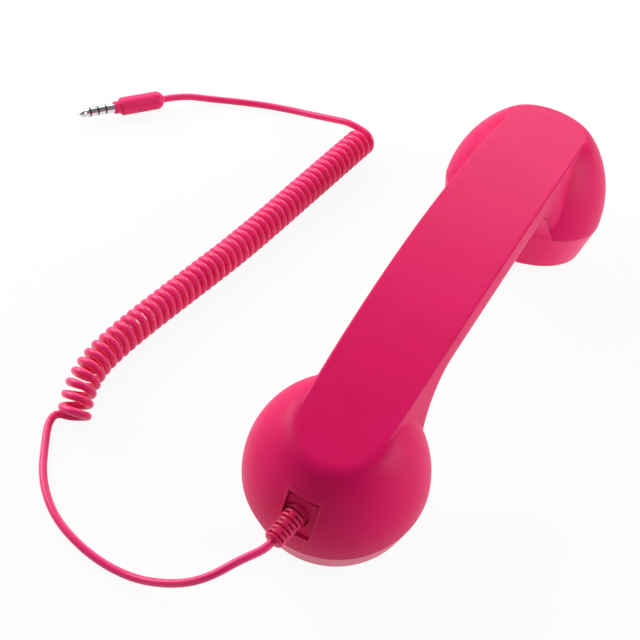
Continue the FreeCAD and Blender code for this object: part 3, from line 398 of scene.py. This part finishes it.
@dataclass
class FinishRack:
    """Materials made so far, one per finish.

    Attributes:
        made: Name of a finish to its material.
    """

    made: dict[str, bpy.types.Material] = field(default_factory=dict)

    def dress(self, item: bpy.types.Object, finish: Finish) -> None:
        """Give an object a finish in all its slots.

        Args:
            item: The object.
            finish: The finish.
        """
        if finish.name not in self.made:
            self.made[finish.name] = finish.build()
        material = self.made[finish.name]
        if not item.material_slots:
            item.data.materials.append(material)
        for holder in item.material_slots:
            holder.material = material


@dataclass
class CadGroup:
    """CAD nodes that keep their shape here and get worked finishes.

    Attributes:
        nodes: Node name to its finish.
    """

    nodes: dict[str, Finish] = field(default_factory=dict)

    def dress(self, rack: FinishRack) -> None:
        """Give every node its finish.

        Args:
            rack: The materials.
        """
        for name, finish in self.nodes.items():
            rack.dress(bpy.data.objects[name], finish)
            LOG.info("dressed %s as %s", name, finish.name)


@dataclass
class Housing(CadGroup):
    """The two shells that meet at the parting line, and the screws that hold them."""

    nodes: dict[str, Finish] = field(default_factory=lambda: {
        "outer_shell": SOFT_PINK, "inner_shell": INNER_PINK, "shell_screws": ZINC})


@dataclass
class SoundCaps(CadGroup):
    """The caps in the two rims and the felt behind their sound holes."""

    nodes: dict[str, Finish] = field(default_factory=lambda: {
        "ear_cap": CAP_PINK, "mouth_cap": CAP_PINK, "ear_felt": FELT, "mouth_felt": FELT})


@dataclass
class Receiver(CadGroup):
    """The speaker in the ear cup."""

    nodes: dict[str, Finish] = field(default_factory=lambda: {
        "speaker_gasket": BLACK_RUBBER, "speaker_basket": BASKET, "speaker_cone": CONE,
        "speaker_magnet": ZINC})


@dataclass
class Microphone(CadGroup):
    """The capsule in the mouth cup and its rubber boot."""

    nodes: dict[str, Finish] = field(default_factory=lambda: {
        "mic_boot": BLACK_RUBBER, "mic_capsule": CAN})


@dataclass
class CallKey(CadGroup):
    """The call button under the handle with its switch and board."""

    nodes: dict[str, Finish] = field(default_factory=lambda: {
        "call_button": CAP_PINK, "switch_plunger": SWITCH, "tact_switch": SWITCH,
        "button_board": BOARD, "board_screws": ZINC})


@dataclass
class InnerLeads(CadGroup):
    """The thin leads inside the handset."""

    nodes: dict[str, Finish] = field(default_factory=lambda: {
        "speaker_lead": LEAD, "mic_lead": LEAD, "cord_core": LEAD})


@dataclass
class CordBoot(CadGroup):
    """The ribbed boot, the anchor that holds it and the moulded seat that fills the pocket below them.

    Sizes are in millimetres, in the frame of the mouth cup, whose x axis points back along the pocket.

    Attributes:
        nodes: Node name to its finish.
        cup: Origin of the cup's frame in the CAD frame.
        cup_tilt: Turn of the cup about the y axis, in degrees.
        seat_back: Where the seat's back lies, just clear of the pocket's floor.
        seat_lip: Where its front lies at the lower lip of the pocket.
        seat_crest: Where its front lies at the top.
        seat_low: Height of its lower end.
        seat_high: Height of its upper end.
        seat_half: Half its width.
        seat_edge: Radius of its front edges.
        seat_rounds: Facets across that radius.
        seat_touch: How near the front a corner lies to count as part of it.
        hole_aside: Middle of the boot's hole, sideways.
        hole_rise: Middle of the boot's hole, in height.
        hole_radius: Radius of the boot's hole.
        hole_depth: Length of the drill that cuts it.
        hole_sides: Facets round the hole.
        smooth_angle: Edges flatter than this are shaded smooth, in degrees.
    """

    nodes: dict[str, Finish] = field(default_factory=lambda: {
        "cord_anchor": BOOT_PINK, "strain_relief": BOOT_PINK})
    cup: Point = (-78.0, 0.0, 19.545)
    cup_tilt: float = 15.0
    seat_back: float = -22.02
    seat_lip: float = -28.1
    seat_crest: float = -22.5
    seat_low: float = 9.55
    seat_high: float = 21.5
    seat_half: float = 5.2
    seat_edge: float = 0.35
    seat_rounds: int = 3
    seat_touch: float = 0.1
    hole_aside: float = 1.0
    hole_rise: float = 15.5
    hole_radius: float = 4.25
    hole_depth: float = 20.0
    hole_sides: int = 72
    smooth_angle: float = 35.0

    def dress(self, rack: FinishRack) -> None:
        """Give the nodes their finish and make the seat.

        Args:
            rack: The materials.
        """
        super().dress(rack)
        seat = self.seat()
        rack.dress(seat, SOFT_PINK)
        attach(seat, "handset")
        LOG.info("moulded %s", seat.name)

    def seat(self) -> bpy.types.Object:
        """Wedge on the pocket's floor, level with the dome at its lower lip, with a hole for the boot.

        Returns:
            The seat.
        """
        seat = self.wedge()
        self.drill(seat)
        seat.rotation_euler = (0.0, -math.radians(self.cup_tilt), 0.0)
        seat.location = Vector(self.cup) * MM
        bpy.ops.object.transform_apply(location=True, rotation=True, scale=True)
        bpy.ops.object.shade_smooth_by_angle(angle=math.radians(self.smooth_angle))
        return seat

    def wedge(self) -> bpy.types.Object:
        """Block of the pocket's width whose front slopes from lip to crest and has rounded edges.

        Returns:
            The block, in the cup's frame.
        """
        tall, slant = self.seat_high - self.seat_low, self.seat_crest - self.seat_lip
        middle = ((self.seat_back + self.seat_lip) / 2 * MM, 0.0,
                  (self.seat_high + self.seat_low) / 2 * MM)

        def at_crest(corner: Vector) -> bool:
            """True for the upper corners of the front."""
            return corner.x < middle[0] and corner.z > middle[2]

        def in_front(corner: Vector) -> bool:
            """True for the corners of the sloped front."""
            front = self.seat_lip * MM + slant / tall * (corner.z - self.seat_low * MM)
            return corner.x < front + self.seat_touch * MM

        bpy.ops.object.select_all(action="DESELECT")
        bpy.ops.mesh.primitive_cube_add(size=1.0)
        block = bpy.context.active_object
        block.name = "boot_seat"
        bpy.ops.object.mode_set(mode="EDIT")
        bpy.ops.transform.resize(value=((self.seat_back - self.seat_lip) * MM, 2 * self.seat_half * MM,
                                        tall * MM))
        bpy.ops.transform.translate(value=middle)
        self.pick(block, at_crest)
        bpy.ops.transform.translate(value=(slant * MM, 0.0, 0.0))
        self.pick(block, in_front)
        bpy.ops.mesh.bevel(offset=self.seat_edge * MM, segments=self.seat_rounds, affect="EDGES")
        bpy.ops.object.mode_set(mode="OBJECT")
        return block

    def drill(self, block: bpy.types.Object) -> None:
        """Cut the boot's hole and leave the block selected.

        Args:
            block: The block, in the cup's frame.
        """
        bpy.ops.object.select_all(action="DESELECT")
        bpy.ops.mesh.primitive_cylinder_add(
            vertices=self.hole_sides, radius=self.hole_radius * MM, depth=self.hole_depth * MM,
            location=Vector((self.seat_back, self.hole_aside, self.hole_rise)) * MM,
            rotation=(0.0, math.pi / 2, 0.0))
        cutter = bpy.context.active_object
        only(block)
        hole = block.modifiers.new("hole", "BOOLEAN")
        hole.operation = "DIFFERENCE"
        hole.solver = "EXACT"
        hole.object = cutter
        bpy.ops.object.modifier_apply(modifier=hole.name)
        bpy.data.meshes.remove(cutter.data)

    @staticmethod
    def pick(item: bpy.types.Object, wanted: Callable[[Vector], bool]) -> None:
        """Select the corners of a mesh in edit mode by their place.

        Args:
            item: The object in edit mode.
            wanted: Says whether a corner at a place is selected.
        """
        net = bmesh.from_edit_mesh(item.data)
        bpy.ops.mesh.select_all(action="DESELECT")
        for corner in net.verts:
            corner.select = wanted(corner.co)
        net.select_flush(True)
        bmesh.update_edit_mesh(item.data)


@dataclass
class HeadsetPlug(CadGroup):
    """The moulded plug with its four-pole pin."""

    nodes: dict[str, Finish] = field(default_factory=lambda: {
        "plug_body": PLUG_PINK, "plug_collar": PLUG_PINK, "plug_sleeve": NICKEL,
        "plug_ring_2": NICKEL, "plug_ring_1": NICKEL, "plug_tip": NICKEL,
        "plug_insulators": INSULATOR})


@dataclass
class CurlyCord:
    """The free cord as one line: lead, curls about an axis on the table, tail to the plug.

    Sizes are in millimetres, as in the CAD source: x and y of the routes from the end of the boot, z
    from the table.

    Attributes:
        radius: Half the cord's thickness.
        coil_radius: Radius of the curls, to the middle of the cord.
        coil_pitch: Travel of a half curl where the coil is tight, before it is fitted to the axis.
        coil_loose: Travel added to a half curl at the near end.
        coil_lean: How far the curls lie over at the near end, in degrees.
        settle: Half curls over which the looseness and the lean die away.
        halves: Half curls in all.
        steps: Control points to a half curl.
        length: Length of the cord along its curls; not used.
        guide_steps: Points to a span of the coil's axis.
        line_steps: Points to a span of the cord.
        round_steps: Fineness of the cord's round.
        boot_end: Where the cord leaves the boot, in the CAD frame.
        boot_way: From there to the cord's second control point.
        plug_rear: Where the cord enters the plug.
        plug_lead: Control point before that.
        lead: Control points from the boot to the curls.
        axis: Control points of the coil's axis, on the table.
        tail: Control points from the curls to the plug.
    """

    radius: float = 1.35
    coil_radius: float = 4.35
    coil_pitch: float = 3.28
    coil_loose: float = 2.2
    coil_lean: float = 46.0
    settle: float = 10.0
    halves: int = 105
    steps: int = 8
    length: float = 1659.0
    guide_steps: int = 24
    line_steps: int = 4
    round_steps: int = 4
    boot_end: Point = (-117.285, 2.984, 25.066)
    boot_way: Point = (-3.044, 0.556, -0.816)
    plug_rear: Point = (176.8, 140.4, 3.5)
    plug_lead: Point = (183.594, 135.128, 3.5)
    lead: tuple[Point, ...] = (
        (-9.3, 5.6, 22.2), (-15.8, 10.9, 17.5), (-18.6, 17.0, 12.2), (-19.6, 24.6, 7.0),
        (-20.3, 32.8, 3.4), (-20.1, 41.0, 1.7), (-19.3, 49.0, 1.35), (-17.3, 57.2, 1.35),
        (-13.8, 65.7, 1.35), (-8.0, 73.5, 1.35), (-0.4, 80.0, 1.35), (8.0, 84.6, 1.35),
        (15.0, 88.2, 1.35), (18.6, 89.4, 1.35), (21.5, 89.5, 1.35), (23.0, 88.0, 1.35),
        (23.4, 85.9, 1.35))
    axis: tuple[tuple[float, float], ...] = (
        (21.6, 82.3), (27.0, 85.1), (36.6, 88.1), (47.5, 89.0), (59.9, 87.5), (70.4, 85.8),
        (80.5, 83.9), (97.6, 80.6), (115.9, 77.0), (135.6, 73.9), (156.2, 71.2), (173.7, 68.8),
        (190.0, 66.6), (201.5, 65.0))
    tail: tuple[Point, ...] = (
        (202.2, 69.4, 10.2), (202.5, 73.3, 9.9), (202.6, 76.1, 9.0), (202.7, 81.2, 7.5),
        (202.8, 86.0, 6.0), (202.9, 91.3, 4.5), (202.8, 96.5, 3.2), (202.1, 101.4, 2.3),
        (201.0, 106.1, 1.7), (199.3, 110.6, 1.4), (195.0, 119.1, 1.35), (190.1, 127.2, 1.6))

    def place(self, spot: Sequence[float]) -> Vector:
        """World position in metres of a route point."""
        return Vector((self.boot_end[0] + spot[0], self.boot_end[1] + spot[1], spot[2])) * MM

    @staticmethod
    def spline(name: str, points: Iterable[Sequence[float]], fineness: int) -> bpy.types.Object:
        """NURBS curve with the points as its control points.

        Args:
            name: Name of the curve.
            points: Control points in metres.
            fineness: Points to a span.

        Returns:
            The curve object, linked to the scene.
        """
        curve = bpy.data.curves.new(name, "CURVE")
        curve.dimensions = "3D"
        line = curve.splines.new("NURBS")
        spots = list(points)
        line.points.add(len(spots) - 1)
        for knot, spot in zip(line.points, spots):
            knot.co = (*spot, 1.0)
        line.order_u = 3
        line.use_endpoint_u = True
        line.resolution_u = fineness
        item = bpy.data.objects.new(name, curve)
        bpy.context.scene.collection.objects.link(item)
        return item

    def axis_points(self) -> list[Vector]:
        """Points along the foot of the coil, read from its NURBS curve.

        Returns:
            The points in metres.
        """
        route = [self.place((*spot, self.radius)) for spot in self.axis]
        guide = self.spline("coil_axis", route, self.guide_steps)
        mesh = bpy.data.meshes.new_from_object(guide)
        spots = [vertex.co.copy() for vertex in mesh.vertices]
        bpy.data.meshes.remove(mesh)
        bpy.data.curves.remove(guide.data)
        return spots

    def helix(self) -> list[Vector]:
        """Control points of the left-handed curls, from a foot at the near end to a top at the far end.

        Returns:
            The points in metres.
        """
        spots = self.axis_points()
        lengths = [0.0]
        for here, there in zip(spots, spots[1:]):
            lengths.append(lengths[-1] + (there - here).length)
        pace = [self.coil_pitch + self.coil_loose * math.exp(-half / self.settle)
                for half in range(self.halves)]
        stretch = lengths[-1] / sum(pace)
        points, travel, span = [], 0.0, 0
        for step in range(self.halves * self.steps + 1):
            while span < len(spots) - 2 and lengths[span + 1] < travel:
                span += 1
            share = (travel - lengths[span]) / (lengths[span + 1] - lengths[span])
            foot = spots[span].lerp(spots[span + 1], share)
            points.append(self.curl(step, foot, (spots[span + 1] - spots[span]).normalized()))
            travel += stretch * pace[min(step // self.steps, self.halves - 1)] / self.steps
        return points

    def curl(self, step: int, foot: Vector, ahead: Vector) -> Vector:
        """Control point of one step round the curls.

        Args:
            step: Number of the step from the near end.
            foot: Point of the coil's axis below it.
            ahead: Direction of the axis there.

        Returns:
            The point in metres.
        """
        reach = self.coil_radius * MM / math.cos(math.pi / self.steps / 2)
        left, upright = Vector((-ahead.y, ahead.x, 0.0)), Vector((0.0, 0.0, 1.0))
        lean = math.radians(self.coil_lean) * math.exp(-step / self.steps / self.settle)
        angle = math.pi * step / self.steps
        lift = upright * math.cos(lean) - ahead * math.sin(lean)
        centre = foot + upright * (self.coil_radius * MM * math.cos(lean))
        return centre - (lift * math.cos(angle) + left * math.sin(angle)) * reach

    def build(self, rack: FinishRack) -> bpy.types.Object:
        """Args:
            rack: The materials.

        Returns:
            The cord's curve.
        """
        exit_point = Vector(self.boot_end) * MM
        points = [exit_point, exit_point + Vector(self.boot_way) * MM]
        points += [self.place(spot) for spot in self.lead]
        points += self.helix()
        points += [self.place(spot) for spot in (*self.tail, self.plug_lead, self.plug_rear)]
        cord = self.spline("curly_cord", points, self.line_steps)
        cord.data.resolution_u = self.line_steps
        cord.data.bevel_depth = self.radius * MM
        cord.data.bevel_resolution = self.round_steps
        cord.data.use_fill_caps = True
        rack.dress(cord, CORD_PINK)
        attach(cord, "handset")
        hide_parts("cord_lead", "cord_curls", "cord_tail")
        return cord


@dataclass(frozen=True)
class SoftBox:
    """Square soft light.

    Attributes:
        name: Name of the lamp.
        place: Where it stands, in metres.
        watts: Its power.
        size: Its side in metres.
    """

    name: str
    place: Point
    watts: float
    size: float = 0.8


@dataclass
class Studio:
    """White floor, soft light and the camera of the photograph, in metres, watts and degrees.

    Attributes:
        focal: Focal length in millimetres.
        sensor: Width of the sensor in millimetres.
        clip: Nearest distance that the camera shows.
        azimuth: Turn of the camera about the handset.
        elevation: Rise of the camera.
        roll: Roll of the camera.
        distance: From the target to the camera.
        target: What the camera looks at.
        floor_size: Side of the floor.
        floor_drop: How far the floor lies below the part.
        floor_paint: Colour of the floor where light falls on it.
        floor_glow: Share of the floor that shows as plain white.
        surround: Strength of the even light.
        boxes: The soft boxes.
        aim: What the soft boxes face.
    """

    focal: float = 102.19
    sensor: float = 36.0
    clip: float = 0.01
    azimuth: float = -72.399
    elevation: float = 46.296
    roll: float = 13.125
    distance: float = 0.610031
    target: Point = (-0.027963, 0.032562, 0.025)
    floor_size: float = 12.0
    floor_drop: float = 0.0002
    floor_paint: Colour = (0.9, 0.9, 0.9)
    floor_glow: float = 0.92
    surround: float = 0.2
    boxes: tuple[SoftBox, ...] = (
        SoftBox("far_box", (0.9, 0.3, 0.55), 5.2), SoftBox("right_box", (0.35, -1.0, 0.55), 8.8),
        SoftBox("left_box", (0.15, 1.05, 0.6), 13.4))
    aim: Point = (0.0, 0.02, 0.03)

    def floor(self) -> None:
        """Wide pale floor that shows white and keeps a soft shadow."""
        bpy.ops.mesh.primitive_plane_add(size=self.floor_size, location=(0.0, 0.0, -self.floor_drop))
        plane = bpy.context.active_object
        plane.name = "studio_floor"
        material = bpy.data.materials.new("studio_white")
        material.use_nodes = True
        wiring = Wiring(material.node_tree)
        rays = wiring.add("ShaderNodeLightPath").outputs
        seen = wiring.combine("MAXIMUM", rays["Is Camera Ray"], rays["Is Glossy Ray"])
        seen = wiring.combine("MAXIMUM", seen, rays["Is Transmission Ray"])
        share = wiring.combine("MULTIPLY", seen, self.floor_glow)
        matt = wiring.add("ShaderNodeBsdfDiffuse", {"Color": (*self.floor_paint, 1.0)})
        glow = wiring.add("ShaderNodeEmission", {"Color": WHITE, "Strength": 1.0})
        mix = wiring.add("ShaderNodeMixShader", {
            "0": share, "1": matt.outputs["BSDF"], "2": glow.outputs["Emission"]})
        wiring.add("ShaderNodeOutputMaterial", {"Surface": mix.outputs["Shader"]})
        plane.data.materials.append(material)

    def world(self) -> None:
        """Even white surroundings."""
        world = bpy.data.worlds.new("studio_world")
        world.use_nodes = True
        wiring = Wiring(world.node_tree)
        light = wiring.add("ShaderNodeBackground", {"Color": WHITE, "Strength": self.surround})
        wiring.add("ShaderNodeOutputWorld", {"Surface": light.outputs["Background"]})
        bpy.context.scene.world = world

    def lamp(self, box: SoftBox) -> None:
        """Set up a soft box that faces the handset.

        Args:
            box: The soft box.
        """
        bpy.ops.object.light_add(type="AREA", location=box.place)
        lamp = bpy.context.active_object
        lamp.name = box.name
        lamp.data.energy = box.watts
        lamp.data.size = box.size
        facing = Vector(self.aim) - Vector(box.place)
        lamp.rotation_euler = facing.to_track_quat("-Z", "Y").to_euler()

    def camera(self) -> None:
        """Set up the camera at the photograph's angle."""
        turn, rise, roll = map(math.radians, (self.azimuth, self.elevation, self.roll))
        back = Vector((math.sin(turn) * math.cos(rise), -math.cos(turn) * math.cos(rise),
                       math.sin(rise)))
        right = Vector((math.cos(turn), math.sin(turn), 0.0))
        up = back.cross(right)
        across = right * math.cos(roll) + up * math.sin(roll)
        above = up * math.cos(roll) - right * math.sin(roll)
        place = Vector(self.target) + back * self.distance
        bpy.ops.object.camera_add()
        camera = bpy.context.active_object
        camera.name = "photo_camera"
        camera.data.sensor_fit = "HORIZONTAL"
        camera.data.sensor_width = self.sensor
        camera.data.lens = self.focal
        camera.data.clip_start = self.clip
        camera.matrix_world = Matrix((
            (across.x, above.x, back.x, place.x), (across.y, above.y, back.y, place.y),
            (across.z, above.z, back.z, place.z), (0.0, 0.0, 0.0, 1.0)))
        bpy.context.scene.camera = camera

    def build(self) -> None:
        """Set up the whole studio."""
        bpy.context.scene.view_settings.view_transform = "Standard"
        self.floor()
        self.world()
        for box in self.boxes:
            self.lamp(box)
        self.camera()


def main() -> None:
    """Build the scene in order and report each piece."""
    logging.basicConfig(level=logging.INFO, format="%(name)s: %(message)s")
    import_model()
    rack = FinishRack()
    groups = (Housing(), SoundCaps(), Receiver(), Microphone(), CallKey(), InnerLeads(), CordBoot(),
              HeadsetPlug())
    for group in groups:
        group.dress(rack)
    cord = CurlyCord().build(rack)
    LOG.info("wound %s with %d control points", cord.name, len(cord.data.splines[0].points))
    Studio().build()
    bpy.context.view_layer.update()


if __name__ == "__main__":
    main()
